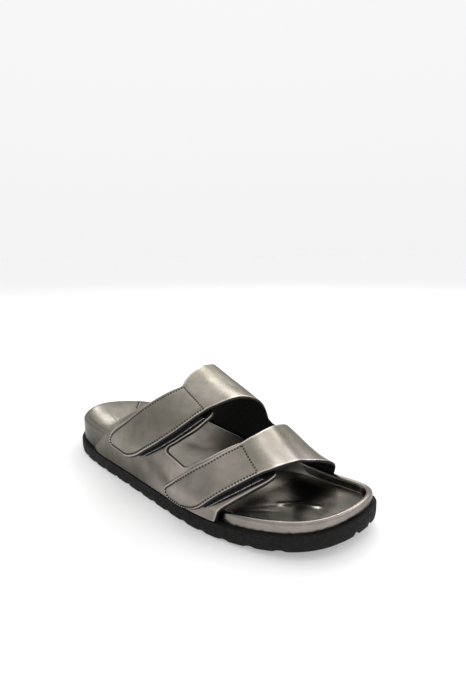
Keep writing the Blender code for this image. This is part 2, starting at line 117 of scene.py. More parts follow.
# Last, straps and stubs, as in the solids.
LAST_COLUMNS = ("forward", "crown", "ridge", "inner_fullness")
LAST = [
    (40, 88.4, 9, 3.6), (80, 87.4, 12, 3.6), (115, 82.9, 13, 3.6), (145, 72, 13, 3),
    (160, 66, 12.5, 2.7), (190, 49.7, 9, 2.5), (215, 34.1, 6, 2.5), (240, 28, 5, 2.5),
]
OUTER_FULLNESS = 1.8
WALL_SHARE = 0.14
GIRTH_SCALE = 170
NORMAL_REACH = 0.5
NORMAL_TURN = 0.004
LEATHER = 2
PATCH = 1.2
LOOP_HEIGHT = GAP
HOOK_HEIGHT = LOOP_HEIGHT + PATCH + GAP
TAB_HEIGHT = HOOK_HEIGHT + PATCH + GAP
EDGE_COLUMNS = ("girth", "rear", "front")
REAR_STRAP = [
    (0.07, 89, 121), (0.12, 94.9, 132), (0.19, 111.2, 146.5), (0.26, 123.2, 156),
    (0.33, 132.2, 160.8), (0.36, 135.2, 162.2), (0.39, 133.1, 163.9), (0.43, 130.6, 164.7),
    (0.48, 127.8, 165), (0.53, 126.4, 165.8), (0.58, 125.6, 167), (0.65, 120.5, 168),
    (0.75, 109, 167.5), (0.82, 98, 167.5), (0.9, 80, 168), (1, 54, 168),
]
FRONT_STRAP = [
    (0.037, 159.5, 185), (0.08, 161.6, 192.8), (0.12, 167.8, 198), (0.19, 178.3, 204.4),
    (0.255, 185.8, 208.6), (0.318, 190, 211.5), (0.345, 191.3, 212.7), (0.375, 191.9, 214.2),
    (0.415, 192.1, 215.1), (0.47, 191.5, 215.7), (0.525, 190.8, 216.6), (0.575, 190.2, 218.7),
    (0.62, 189.6, 220.2), (0.7, 188, 222.5), (0.82, 185.5, 223.5), (0.9, 184, 222.5),
    (1, 183, 220.5),
]
REAR_STUB = [
    (0, 48, 147), (0.09, 77.5, 147), (0.145, 89.5, 147.5), (0.18, 98.5, 149.5), (0.23, 111, 156.5),
    (0.31, 127, 164), (0.38, 135, 165.5),
]
FRONT_STUB = [
    (0, 170, 200.5), (0.1, 170, 204.5), (0.168, 170.5, 209), (0.19, 172.5, 210.2),
    (0.265, 181.5, 214), (0.36, 188.5, 216.8), (0.41, 191.5, 216.5),
]
INNER_NOTCH = 0.82
OUTER_NOTCH = 0.178
NOTCH_RADIUS = 3.5
TAB_RADIUS = 9
STUB_RADIUS = 5
RAMP_START = 11.6
RAMP_END = -26.4
CROWN_RISE = 0.65
CROWN_PLACE = (170, 190)
CROWN_ACROSS = 4
CROWN_WIDTH = 6.5
PATCH_TOP = 0.335
PATCH_RADIUS = 6
# Tapes: how far in from the strap's rear edge, front edge and end, and how high.
LOOP_KIND = (2.5, -1.4, 3.5, LOOP_HEIGHT)
HOOK_KIND = (1.2, 0.6, 1.5, HOOK_HEIGHT)

# Fine grids: closer rows along cut edges, then an even step.
EDGE_STEPS = (0, 0.12, 0.3, 0.55, 0.9, 1.3, 1.7, 2.1, 2.6, 3.2)
ROW_STEP = 1.1
STRAP_COLUMNS = 26
NOTCH_COLUMNS = 14
QUARTER_ROWS = 26
LOOP_POINTS = 400
RIM_STEPS = 14
WALL_STEPS = 12
BASIN_STEPS = 24
FLOOR_STEPS = 30
SOLE_STEP = 1
SOLE_ACROSS = 49

# Cut edges, sewing, the leather's own unevenness, and painted light and shade.
EDGE_ROUND = 0.9
EDGE_BEAD = 0.5
TAPE_BEAD = 0.1
THIN_REACH = 18
THIN_DEPTH = 3.15
THIN_LEAST = 0.15
THIN_GIRTHS = (0.1, 0.15)
PARED_BARE = 0.3
QUARTER_THICKNESS = 2.6
LINING_ROUND = 0.25
QUARTER_LINING_ROUND = 0.8
STITCH_INSET = 1.75
STITCH_PITCH = 2
STITCH_LENGTH = 1.2
STITCH_RADIUS = 0.54
STITCH_SINK = 0.22
STITCH_BLUNT = 0.04
STITCH_RINGS = 7
STITCH_SIDES = 8
STITCH_AHEAD = 0.3
STITCH_TILT = math.radians(7)
STITCH_GROOVE = 0.28
STITCH_GROOVE_WIDTH = 0.75
SEAM_STEPS = 40
SEAM_TURN_STEPS = 12
CROSS_STEPS = 16
REAR_CROSS = ((0.36, 137), (0.349, 160.4))
FRONT_CROSS = ((0.357, 193), (0.33, 210.6))
SWELL = 0.10
SWELL_LENGTH = 34
SWELL_INSET = 6
SWELL_WAVES = [(1, 0, 0.6, 1), (-0.9, 1.7, 0, 2.1), (0, 1.3, 2.3, 0.7)]
QUARTER_DENT = 2.2
QUARTER_DENT_PLACE = 199
QUARTER_DENT_REACH = 7
HEEL_SEAM_PLACE = 24
HEEL_SEAM_LENGTH = 10
# Tones of the heel seam's two welts: a painted highlight, and painted shadow.
HEEL_SEAM_HIGHLIGHT_AND_SHADOW = (2, 0.15)
HEEL_SEAM_RADIUS = 0.45
HEEL_SEAM_STEPS = 20
TOE_RIDGE = [(217.2, -8.9), (221.3, -4.6), (226.9, -0.7), (236.7, 1.4)]
TOE_RIDGE_HEIGHT = 0.42
TOE_RIDGE_WIDTH = 2
CREASES = [
    [(201.8, -29.7), (210.2, -18.9), (217.5, -9)],
    [(201.7, -33.2), (211.2, -24.9), (223.1, -15.8)],
]
CREASE_DEPTH = 0.14
CREASE_WIDTH = 0.7
# Painted shade: the leather is darker towards the sole line. These give how dark it is at the sole, up to
# what height, and where it fades out towards the toe.
PAINTED_SOLE_SHADE = 0.52
PAINTED_SOLE_SHADE_HEIGHT = 28
WRAP_PAINTED_SOLE_SHADE = 2
PAINTED_SOLE_SHADE_TOE = (115, 160)
# Spots of painted shadow and painted reflection on the outer quarter: forward, girth, reach along and
# across, and change.
QUARTER_PAINTED_LIGHT = [
    (129, 0.104, 4, 4, -0.35), (138, 0.103, 6, 5, -0.42), (148, 0.098, 7, 5, -0.38),
    (157, 0.092, 6, 5, -0.42), (164, 0.15, 7, 6, 0.5), (170, 0.178, 4, 4, 0.8),
    (150, 0.16, 7, 5, 0.15), (156, 0.018, 12, 5, 0.35),
]
SATIN_PLACE = (80, 125, 188, 203)
SATIN_HEEL = 0.35
SATIN = 0.34
# Painted light and painted shade on the sock between the straps: where along, where across, and the tone
# there. It is lighter in the middle and darker at the inner side.
SOCK_PAINTED_LIGHT = (120, 142, 190, 204)
SOCK_PAINTED_LIGHT_ACROSS = (-12, 2, 11, 21, 30)
SOCK_PAINTED_LIGHT_TONES = (1.3, 2.2, 2.6, 0.9, 0.6)
# The same for the painted shade of the sock by the toe, with how far across in place of girth.
TOE_PAINTED_SHADE = [
    (208, -13, 16, 21, -0.6), (205, -32, 12, 9, -0.55), (218, -28, 14, 9, -0.65),
    (203, 4, 6, 6, -0.45), (228, -18, 9, 8, -0.55), (250, 18, 10, 14, -0.5),
    (232, 30, 20, 2.5, -0.45),
]
# Painted shade on the footbed's inner side: where along it runs, where across it starts, and how dark it
# is.
DARK_SIDE = (120, 138, 188, 202)
DARK_SIDE_ACROSS = (6, 18)
DARK_SIDE_SHADE = 0.32
PUCKER_PITCH = 5.2
PUCKER_DEPTH = 0.35
PUCKER_HEIGHT = 3
PUCKER_FINE = (0.5, 3.1, 1)
PUCKER_PLACE = (198, 208, 222, 234)
PUCKER_SHARE = (0, 1, 1, 0.35)
FIBRES = 700
FIBRE_LENGTH = 0.6
FIBRE_LEAST = 0.2
FIBRE_RADIUS = 0.035
FIBRE_BAND = 1.2
FIBRE_LEAN = 0.003
FIBRE_BEND = 0.2
FIBRE_FALL = -0.1
FIBRE_RISE = 0.9
FIBRE_TAPER = ((0, 1), (0.5, 0.8), (1, 0.3))
SELVAGE_RADIUS = 0.32
SELVAGE_REACH = 0.5
SELVAGE_STEPS = 90
TUBE_SIDES = 8
TUBE_SIDEWAYS = (0.31, 0.95, 0.05)

# Colours.  The marks on sewn leather: what they lie by, their reach, strength and tint.
LEATHER_TINTS = ((0.192, 0.18, 0.142), (0.24, 0.219, 0.187), (0.285, 0.254, 0.234))
SOCK_TINTS = ((0.235, 0.216, 0.184), (0.255, 0.233, 0.202), (0.238, 0.226, 0.19))
EDGE_MARKS = [
    # A pale band: painted highlight on the rounded edge.
    ("edge", (0.8, 1.8), 0.72, (0.48, 0.44, 0.395, 1.0)),
    # Black edge paint, wider than the cut edge, which is also painted shadow round the tabs.
    ("edge", (0.26, 0.58), 0.95, (0.012, 0.011, 0.010, 1.0)),
    # Painted shade along the sunk seam groove.
    ("seam", (0.2, 0.9), 0.20, (0.07, 0.065, 0.06, 1.0)),
]
TAPES = (("loop", 0.030), ("hook", 0.024))
TAPE_BACK = 0.02
TAPE_EDGE = 1.6
SELVAGE_TONE = 0.45

# Plain stuffs: the grain's scale and detail, dark and pale tone, roughness, shine, and the nap's
# scale, detail, strength and depth.
BLACK = (0.006, 0.006, 0.006)
LINING = ((900, 4), (BLACK, (0.02, 0.019, 0.018)), 0.92, 0.1, (3000, 4, 0.35, 0.00008))
CUT_EDGE = ((1800, 5), (BLACK, (0.018, 0.017, 0.016)), 0.55, 0.25, (2500, 4, 0.4, 0.0001))
THREAD_TONES = ((0.018, 0.016, 0.014), (0.06, 0.055, 0.05))
THREAD = ((2500, 3), THREAD_TONES, 0.6, 0.5, (5000, 2, 0.4, 0.00006))

# Camera: the photograph's own place, worked out from the sole's outline in it.
EYE = (403.5, -233.7, 170.6)
SIGHT = (-0.691, 0.6915, -0.2105)
ROLL = math.radians(-0.826)
FOCAL_PIXELS = 529.6
FRAME_PIXELS = 699
SENSOR = 36

# Floor.
WHITE = (1, 1, 1, 1)
FLOOR_SIDES = 96
FLOOR_RADIUS = 4
FLOOR_DROP = 0.0002
FLOOR_GLOW = 0.30
FLOOR_FADE = (0.25, 1.7)
FLOOR_FAR = (0.595, 0.595, 0.595, 1)

# Soft boxes: name, place, width and height in metres, and power.  All face the shoe.
LIGHT_AIM = (0, 0, 0.03)
LIGHTS = [
    ("back", (-0.52, 0.81, 0.80), (0.82, 0.22), 3.0),
    ("far", (0.03, 0.96, 0.77), (0.56, 0.22), 1.6),
    ("over", (-0.50, 0.39, 1.07), (1.0, 0.80), 1.6),
    ("key", (0.80, 0.90, 1.00), (1.0, 1.0), 2.0),
]
SKY_LOW = 0.90
SKY_HIGH = 1
FLAG_WAY = (-0.56, -0.6, 0.57)
FLAG_REACH = (0.84, 0.97)
FLAG_SHADE = 0.72


def hermite(t, step, first, second, first_slope, second_slope):
    """The cubic from one value to the next with their slopes, at share t of a step."""
    start = (2 * t**3 - 3 * t**2 + 1) * first + (t**3 - 2 * t**2 + t) * step * first_slope
    end = (3 * t**2 - 2 * t**3) * second + (t**3 - t**2) * step * second_slope
    return start + end


def smooth(x, xs, ys):
    """A curve through the points (xs, ys) that doesn't swing past them."""
    xs = np.asarray(xs, float)
    ys = np.asarray(ys, float)
    x = np.clip(np.asarray(x, float), xs[0], xs[-1])
    step = np.diff(xs)
    slope = np.diff(ys) / step
    product = slope[:-1] * slope[1:]
    total = np.where(product > 0, slope[:-1] + slope[1:], 1.0)
    middle = np.where(product > 0, 2 * product / total, 0.0)
    tangent = np.concatenate([slope[:1], middle, slope[-1:]])
    k = np.clip(np.searchsorted(xs, x, side="right") - 1, 0, len(xs) - 2)
    t = (x - xs[k]) / step[k]
    return hermite(t, step[k], ys[k], ys[k + 1], tangent[k], tangent[k + 1])


def ease(t):
    """A soft step from 0 to 1 while t goes from 0 to 1."""
    t = np.clip(t, 0, 1)
    return t**2 * (3 - 2 * t)


def hump(distance, width):
    """A soft hump of height 1, by the distance from its middle."""
    return np.exp(-(distance / width)**2)


def unit(vectors):
    """The vectors at length 1."""
    return vectors / np.maximum(np.linalg.norm(vectors, axis=-1, keepdims=True), TINY)


def run_along(line):
    """The distance from a line's start to each of its points."""
    return np.concatenate([[0], np.cumsum(np.linalg.norm(np.diff(line, axis=0), axis=1))])


def at_runs(places, run, line):
    """The points of a line at distances along it, by run_along of it."""
    return np.stack([np.interp(places, run, column) for column in line.T], -1)


def shifted(faces, first):
    """Faces whose points are numbered on from first."""
    return [tuple(first + corner for corner in face) for face in faces]


def look_up(table, columns, name, place_along):
    """The named column of a table at a place of its first column."""
    rows = np.array(table)
    return smooth(place_along, rows[:, 0], rows[:, columns.index(name)])


def last_at(name, x):
    """A column of the last's table at x."""
    return look_up(LAST, LAST_COLUMNS, name, x)


def edge_at(table, name, girth):
    """How far forward the rear or front edge of a strap lies at a girth."""
    return look_up(table, EDGE_COLUMNS, name, girth)


def closed_spline(points, count):
    """A smooth closed curve through the points, as count points."""
    p = np.asarray(points, float)
    n = len(p)
    chord = np.roll(p, -1, 0) - p
    span = np.linalg.norm(chord, axis=1) ** 0.5
    before = np.roll(span, 1)
    slope = chord / span[:, None]
    row = np.arange(n)
    matrix = np.diag(2 * (before + span))
    matrix[row, row - 1] = span
    matrix[row, (row + 1) % n] = before
    right = 3 * (span[:, None] * np.roll(slope, 1, 0) + before[:, None] * slope)
    tangent = np.linalg.solve(matrix, right)
    knots = np.concatenate([[0], np.cumsum(span)])
    s = np.linspace(0, knots[-1], count, endpoint=False)
    k = np.clip(np.searchsorted(knots, s, side="right") - 1, 0, n - 1)
    following = (k + 1) % n
    t = ((s - knots[k]) / span[k])[:, None]
    return hermite(t, span[k][:, None], p[k], p[following], tangent[k], tangent[following])


def outline_sides(inset):
    """The outer and the inner side of the sole's outline, heel to toe, moved in by inset."""
    outer = [(forward, edge) for forward, edge, _ in OUTLINE]
    inner = [(forward, edge) for forward, _, edge in OUTLINE]
    loop = closed_spline([HEEL_BACK] + outer + [TOE_TIP] + inner[::-1], OUTLINE_SAMPLES)
    along = unit(np.roll(loop, -1, 0) - np.roll(loop, 1, 0))
    loop = loop + inset * along[:, ::-1] * (-1, 1)
    loop = np.roll(loop, -int(np.argmin(loop[:, 0])), 0)
    toe = int(np.argmax(loop[:, 0]))
    return loop[:toe + 1], np.vstack([loop[toe:], loop[:1]])[::-1]


OUTER_SIDE, INNER_SIDE = outline_sides(0.0)
HEEL_X = OUTER_SIDE[0, 0]
TOE_X = OUTER_SIDE[-1, 0]
SOLE_LOW, SOLE_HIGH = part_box("outsole")
SHIFT = np.array([SOLE_LOW.x - HEEL_X * MM, SOLE_HIGH.y - INNER_SIDE[:, 1].max() * MM, 0.0])


def place(points):
    """Millimetres of the tables to metres of the frame."""
    return np.asarray(points, float) * MM + SHIFT


def side_at(side, x):
    """How far across a side of the outline lies at x."""
    return np.interp(x, side[:, 0], side[:, 1])


def lift(x):
    """The outsole's underside above the ground: toe spring and heel lift."""
    toe = np.clip((x - TOE_SPRING_START) / (SOLE_LENGTH - TOE_SPRING_START), 0, 1)
    heel = np.clip((HEEL_LIFT_START - x) / HEEL_LIFT_START, 0, 1)
    return TOE_SPRING * toe**2 + HEEL_LIFT * heel**2


def sole_top(x):
    """The outsole's top face."""
    return SOLE_SIDE + lift(x)


def height(name, x):
    """A column of the footbed's heights at x."""
    return look_up(HEIGHTS, HEIGHT_COLUMNS, name, x)


def last_face(x, girth):
    """The upper's outer face: a wall round the footbed, then an arch over the foot."""
    x, girth = np.broadcast_arrays(np.asarray(x, float), np.asarray(girth, float))
    outer = girth < 0.5
    side = np.where(outer, side_at(OUTER_SIDE, x), side_at(INNER_SIDE, x))
    rim = sole_top(x) + np.where(outer, height("outer_rim", x), height("inner_rim", x))
    base = sole_top(x) + GAP
    ridge = last_at("ridge", x)
    share = 1 - np.abs(2 * girth - 1)
    angle = np.clip((share - WALL_SHARE) / (1 - WALL_SHARE), 0, 1) * math.pi / 2
    power = 2 / np.where(outer, OUTER_FULLNESS, last_at("inner_fullness", x))
    across = ridge + (side - ridge) * np.cos(angle)**power
    wall = base + (rim - base) * share / WALL_SHARE
    arch = rim + (last_at("crown", x) - rim) * np.sin(angle)**power
    return np.stack([x, across, np.where(share < WALL_SHARE, wall, arch)], -1)


def last(x, girth, depth):
    """A point at a height above the upper's outer face, along the face's normal."""
    along = last_face(x + NORMAL_REACH, girth) - last_face(x - NORMAL_REACH, girth)
    after = last_face(x, np.minimum(girth + NORMAL_TURN, 1))
    before = last_face(x, np.maximum(girth - NORMAL_TURN, 0))
    return last_face(x, girth) + unit(np.cross(along, after - before)) * np.asarray(depth)[..., None]


def tab_rise(x, girth):
    """The underside of the straps: on the foot, and above the stubs at the tabs."""
    across = last_face(x, girth)[..., 1] - last_at("ridge", x)
    rise = ease((RAMP_START - across) / (RAMP_START - RAMP_END))
    round_top = np.interp(x, CROWN_PLACE, (0.0, 1.0)) * hump(across - CROWN_ACROSS, CROWN_WIDTH)
    return -LEATHER + (TAB_HEIGHT + LEATHER) * rise + CROWN_RISE * round_top


def level(depth):
    """A sheet's underside at the same height all over."""
    return lambda x, girth: np.full(np.shape(girth), depth)


def corner_inset(distance, radius):
    """How far a round corner draws an edge in, at a distance from the end."""
    rest = np.clip(radius - distance, 0, radius)
    return radius - np.sqrt(radius**2 - rest**2)


def spread(start, end, count):
    """Places from start to end, close together at both."""
    fine = np.array(EDGE_STEPS)
    middle = np.linspace(start + fine[-1], end - fine[-1], count)
    return np.concatenate([start + fine[:-1], middle, end - fine[-2::-1]])


def as_grid(rows, girths):
    """The places and the girths of a grid from its rows and each row's girth."""
    return np.array(rows), np.repeat(girths[:, None], len(rows[0]), axis=1)


def strap_grid(table, start, end, radius, rear_flare, front_flare):
    """A strap's grid from start to a round end, flared where it starts at a notch."""
    length = abs(end - start) * GIRTH_SCALE
    runs = spread(0.0, length, max(2, int((length - 2 * EDGE_STEPS[-1]) / ROW_STEP) + 1))
    girths = start + (end - start) * runs / length
    flare = corner_inset(runs, NOTCH_RADIUS)
    inset = corner_inset(length - runs, radius)
    rear = edge_at(table, "rear", girths) + inset - flare * rear_flare
    front = edge_at(table, "front", girths) - inset + flare * front_flare
    return as_grid([spread(*ends, STRAP_COLUMNS) for ends in zip(rear, front)], girths)


def quarter_grid(rear_table, front_table, rear_grid, front_grid, welt, notch):
    """The quarter under two straps, from the welt up to the notch."""
    notch_rear, notch_front = rear_grid[0][0, -1], front_grid[0][0, 0]
    between = np.linspace(notch_rear, notch_front, NOTCH_COLUMNS)[:-1]
    girths = np.linspace(welt, notch, QUARTER_ROWS)
    rows = []
    for rear, front in zip(edge_at(rear_table, "rear", girths), edge_at(front_table, "front", girths)):
        rows.append(np.concatenate([spread(rear, notch_rear, STRAP_COLUMNS)[:-1], between,
                                    spread(notch_front, front, STRAP_COLUMNS)]))
    return as_grid(rows, girths)


def upper_grids(rear_table, front_table, notch, welt, end, radius):
    """The grids of a quarter and of its two straps, from the notch to their ends."""
    rear = strap_grid(rear_table, notch, rear_table[end][0], radius, 0, 1)
    front = strap_grid(front_table, notch, front_table[end][0], radius, 1, 0)
    return [quarter_grid(rear_table, front_table, rear, front, welt, notch), rear, front]


def join_grids(grids):
    """Places, girths and quads of grids that join where their points meet."""
    xs, girths, quads, index = [], [], [], {}
    for grid_x, grid_g in grids:
        numbers = np.zeros(grid_x.shape, int)
        for spot in np.ndindex(grid_x.shape):
            key = (round(float(grid_x[spot]), 4), round(float(grid_g[spot]), 6))
            if key not in index:
                index[key] = len(xs)
                xs.append(grid_x[spot])
                girths.append(grid_g[spot])
            numbers[spot] = index[key]
        corners = (numbers[:-1, :-1], numbers[:-1, 1:], numbers[1:, 1:], numbers[1:, :-1])
        quads += list(zip(*(corner.ravel() for corner in corners)))
    return np.array(xs), np.array(girths), quads


def rim_of(quads):
    """The edges that only one quad uses, each in that quad's direction, and the quad."""
    owners = {(quad[k], quad[(k + 1) % 4]): quad for quad in quads for k in range(4)}
    return {edge: owners[edge] for edge in sorted(owners) if edge[::-1] not in owners}


def distance_to_lines(points, starts, ends):
    """Each point's distance to the nearest of many short lines."""
    nearest = np.full(len(points), np.inf)
    way = ends - starts
    square = np.maximum(np.sum(way * way, axis=1), TINY_SQUARE)
    for first in range(0, len(points), POINTS_AT_ONCE):
        some = slice(first, first + POINTS_AT_ONCE)
        chunk = points[some, None, :] - starts[None]
        share = np.clip(np.sum(chunk * way[None], axis=2) / square, 0, 1)
        apart = np.linalg.norm(chunk - share[..., None] * way[None], axis=2)
        nearest[some] = apart.min(axis=1)
    return nearest


def swell(points, seed):
    """Slow unevenness of hand-lasted leather, between -1 and 1."""
    turn = points * (2 * math.pi / SWELL_LENGTH)
    return sum(np.sin(turn @ wave[:3] + wave[3] * seed) for wave in SWELL_WAVES) / len(SWELL_WAVES)


def painted_sole_shade(points):
    """Painted shade on the leather: darker towards the sole line, but not at the toe."""
    rise = ease((points[:, 2] - sole_top(points[:, 0])) / PAINTED_SOLE_SHADE_HEIGHT)
    toe = np.interp(points[:, 0], PAINTED_SOLE_SHADE_TOE, (0.0, 1.0))
    return 1 - (1 - PAINTED_SOLE_SHADE) * (1 - rise) * (1 - toe)


def painted_light_spots(table, along, across, scale):
    """Each spot's change of painted light and shade at places along and across."""
    return [change * hump(along - forward, reach) * hump((across - aside) * scale, width)
            for forward, aside, reach, width, change in table]


def painted_shade_inner_side(points):
    """Painted shade and a painted reflection of the black lining on the footbed's inner side, under the
    inner quarter.
    """
    along = np.interp(points[:, 0], DARK_SIDE, (0.0, 1.0, 1.0, 0.0))
    across = np.interp(points[:, 1], DARK_SIDE_ACROSS, (0.0, 1.0))
    return 1 - (1 - DARK_SIDE_SHADE) * along * across


def add_object(name, data):
    """A new object in the scene."""
    thing = bpy.data.objects.new(name, data)
    bpy.context.scene.collection.objects.link(thing)
    return thing


def build(name, points, faces, materials, nodes=(), numbers=None, kinds=0):
    """A smooth piece from points in millimetres, which stands for CAD nodes."""
    mesh = bpy.data.meshes.new(name)
    mesh.from_pydata(place(points).tolist(), [], faces)
    for material in materials:
        mesh.materials.append(material)
    mesh.polygons.foreach_set("material_index", np.broadcast_to(kinds, len(faces)).astype(np.int32))
    for key, values in (numbers or {}).items():
        layer = mesh.attributes.new(key, "FLOAT", "POINT")
        layer.data.foreach_set("value", np.asarray(values, np.float32))
    mesh.shade_smooth()
    mesh.validate()
    piece = add_object(name, mesh)
    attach(piece, "root")
    if nodes:
        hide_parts(*nodes)


def edge_ways(points, rim):
    """For each point on the rim, the way out of the sheet there."""
    ways = np.zeros_like(points)
    for (start, end), quad in rim.items():
        along = points[end] - points[start]
        way = (points[start] + points[end]) / 2 - points[list(quad)].mean(axis=0)
        way = unit(way - along * (np.dot(way, along) / max(np.dot(along, along), TINY_SQUARE)))
        ways[start] += way
        ways[end] += way
    return unit(ways)


def leather_sheet(name, grids, under, thickness, seams, materials, nodes,
                  bead=EDGE_BEAD, lining_round=LINING_ROUND, thinned=None):
    """A cut leather sheet with a face, a lining and a beaded edge, and sunk seam lines.

    thinned is a table of edges whose rear edge is pared down where it lies on the heel.
    """
    xs, girths, quads = join_grids(grids)
    count = len(xs)
    rim = rim_of(quads)
    low = under(xs, girths)
    middle = last(xs, girths, low + thickness / 2)
    starts, ends = (middle[[edge[k] for edge in rim]] for k in range(2))
    to_edge = distance_to_lines(middle, starts, ends)
    to_seam = np.full(count, FAR)
    for x, girth in (seam.T for seam in seams):
        line = last(x, girth, under(x, girth) + thickness / 2)
        to_seam = np.minimum(to_seam, distance_to_lines(middle, line[:-1], line[1:]))
    top = low + thickness - corner_inset(to_edge, EDGE_ROUND)
    top += SWELL * swell(middle, len(name)) * np.clip(to_edge / SWELL_INSET, 0, 1)
    top -= STITCH_GROOVE * hump(to_seam, STITCH_GROOVE_WIDTH)
    bottom = low + corner_inset(to_edge, lining_round)
    pared = np.zeros(count)
    shade = np.ones(count)
    if thinned:
        from_rear = xs - edge_at(thinned, "rear", girths)
        pared = np.clip(1 - from_rear / THIN_REACH, 0, 1)**2 * np.interp(girths, THIN_GIRTHS, (1.0, 0.0))
        top = top * (1 - pared) - THIN_DEPTH * pared
        bottom = bottom * (1 - pared) - (THIN_DEPTH + THIN_LEAST) * pared
        to_edge = to_edge + THIN_REACH * pared
        # Painted shade towards the sole line, and spots of painted shadow and painted reflection, on the
        # outer quarter.
        shade = painted_sole_shade(middle) * (1 + sum(painted_light_spots(QUARTER_PAINTED_LIGHT, xs, girths, GIRTH_SCALE)))
    outer = last(xs, girths, top)
    inner = last(xs, girths, bottom)
    corners = sorted({corner for edge in rim for corner in edge})
    number = {corner: 2 * count + k for k, corner in enumerate(corners)}
    beads = bead * (1 - pared)
    mid = ((outer + inner) / 2 + edge_ways(middle, rim) * beads[:, None])[corners]
    faces = list(quads) + [face[::-1] for face in shifted(quads, count)]
    faces += [(end, start, number[start], number[end]) for start, end in rim]
    faces += [(number[end], number[start], count + start, count + end) for start, end in rim]
    cut = [0 if pared[start] > PARED_BARE else 2 for start, _ in rim]
    kinds = [0] * len(quads) + [1] * len(quads) + cut + cut
    numbers = {key: np.concatenate([values, values, values[corners]])
               for key, values in (("edge", to_edge), ("seam", to_seam), ("shade", shade))}
    points = np.vstack([outer, inner, mid])
    build(name, points, faces, materials, nodes, numbers, kinds)


def tab_seam(table, cross, radius):
    """The sewn line round a tab between the ends of its cross seam, as (forward, girth)."""
    end = table[0][0]
    turns = np.linspace(0, math.pi / 2, SEAM_TURN_STEPS)[1:]
    lines = []
    for name, sign, (top, _) in zip(("rear", "front"), (1, -1), cross):
        straight = np.linspace(top, end + radius / GIRTH_SCALE, SEAM_STEPS)
        girths = np.concatenate([straight, end + (radius - radius * np.sin(turns)) / GIRTH_SCALE])
        insets = np.concatenate([np.zeros(SEAM_STEPS), radius - radius * np.cos(turns)])
        lines.append(np.column_stack([edge_at(table, name, girths) + sign * insets, girths]))
    flat = np.vstack([lines[0], lines[1][::-1]]) * (1.0, GIRTH_SCALE)
    along = unit(np.gradient(flat, axis=0))
    flat = flat + STITCH_INSET * along[:, ::-1] * (-1, 1)
    return flat / (1.0, GIRTH_SCALE)


def cross_seam(ends):
    """The straight sewn line across a strap above its tab."""
    first, second = ((x, girth) for girth, x in ends)
    return np.linspace(first, second, CROSS_STEPS)


def ring_faces(rings, size):
    """Quads between rings of the same size, each ring closed."""
    faces = []
    for low in range(0, (rings - 1) * size, size):
        for i in range(size):
            j = (i + 1) % size
            faces.append((low + i, low + j, low + size + j, low + size + i))
    return faces


def stitch_shape():
    """One stitch along +X as a plump grain, with its ends turned down, and its faces."""
    share = np.linspace(-1, 1, STITCH_RINGS)[:, None]
    turn = np.linspace(0, 2 * math.pi, STITCH_SIDES, endpoint=False)
    radius = STITCH_RADIUS * np.sqrt(np.maximum(1 - np.abs(share)**3, STITCH_BLUNT))
    across, up = radius * np.cos(turn), radius * np.sin(turn) - STITCH_SINK * share**2
    along = np.broadcast_to(share * STITCH_LENGTH / 2, up.shape)
    end = tuple(range(STITCH_SIDES))
    faces = ring_faces(STITCH_RINGS, STITCH_SIDES) + [end[::-1]]
    faces += shifted([end], (STITCH_RINGS - 1) * STITCH_SIDES)
    return np.stack([along, across, up], -1).reshape(-1, 3), faces


def sew(name, seams, material):
    """Stitches along seam lines on the tabs."""
    shape, shape_faces = stitch_shape()
    points, faces = [], []
    for x, girth in (seam.T for seam in seams):
        face = tab_rise(x, girth) + LEATHER
        surface, above = last(x, girth, face), last(x, girth, face + 1)
        run = run_along(surface)
        middles = np.arange(STITCH_PITCH / 2, run[-1], STITCH_PITCH)
        spots = at_runs(middles, run, surface)
        ups = unit(at_runs(middles, run, above) - spots)
        aheads = at_runs(middles + STITCH_AHEAD, run, surface) - spots
        for spot, up, along in zip(spots, ups, aheads):
            along = unit(along - up * np.dot(along, up))
            across = np.cross(up, along)
            along = along * math.cos(STITCH_TILT) + across * math.sin(STITCH_TILT)
            across = np.cross(up, along)
            faces += shifted(shape_faces, len(points))
            spot = spot - up * (STITCH_GROOVE - STITCH_RADIUS / 2)
            points += list(spot + shape @ np.array([along, across, up]))
    build(name, points, faces, [material])


def tape_patch(name, table, kind, materials, node):
    """A hook or loop tape with round corners at its end."""
    rear_inset, front_inset, end_inset, depth = kind
    inset_table = [(girth, rear + rear_inset, front - front_inset) for girth, rear, front in table]
    end = table[0][0] + end_inset / GIRTH_SCALE
    grid = strap_grid(inset_table, PATCH_TOP, end, PATCH_RADIUS, 0, 0)
    leather_sheet(name, [grid], level(depth), PATCH, [], materials, [node], TAPE_BEAD)


def fuzz(name, table, kind, seed, material):
    """Short fibres along the front edge of a loop tape."""
    chance = np.random.default_rng(seed)
    _, front_inset, end_inset, depth = kind
    end = table[0][0] + (end_inset + PATCH_RADIUS) / GIRTH_SCALE
    girths = chance.uniform(end, PATCH_TOP, FIBRES)
    xs = edge_at(table, "front", girths) - front_inset - chance.uniform(0.0, FIBRE_BAND, FIBRES)
    roots = last(xs, girths, depth + chance.uniform(FIBRE_LEAST, PATCH, FIBRES))
    forward = xs + chance.uniform(FIBRE_LEAST, FIBRE_LENGTH, FIBRES)
    aside = girths + chance.normal(0, FIBRE_LEAN, FIBRES)
    tips = last(forward, aside, depth + chance.uniform(FIBRE_FALL, PATCH + FIBRE_RISE, FIBRES))
    turns = [2 * math.pi * side / 3 for side in range(3)]
    section = FIBRE_RADIUS * np.array([(math.cos(turn), math.sin(turn), math.sin(turn)) for turn in turns])
    points, faces = [], []
    for root, tip in zip(roots, tips):
        bend = chance.normal(0, FIBRE_BEND, 3)
        faces += shifted(ring_faces(len(FIBRE_TAPER), 3), len(points))
        for share, width in FIBRE_TAPER:
            middle = root + (tip - root) * share + bend * (1 - (2 * share - 1)**2)
            points += list(middle + width * section)
    build(name, points, faces, [material])


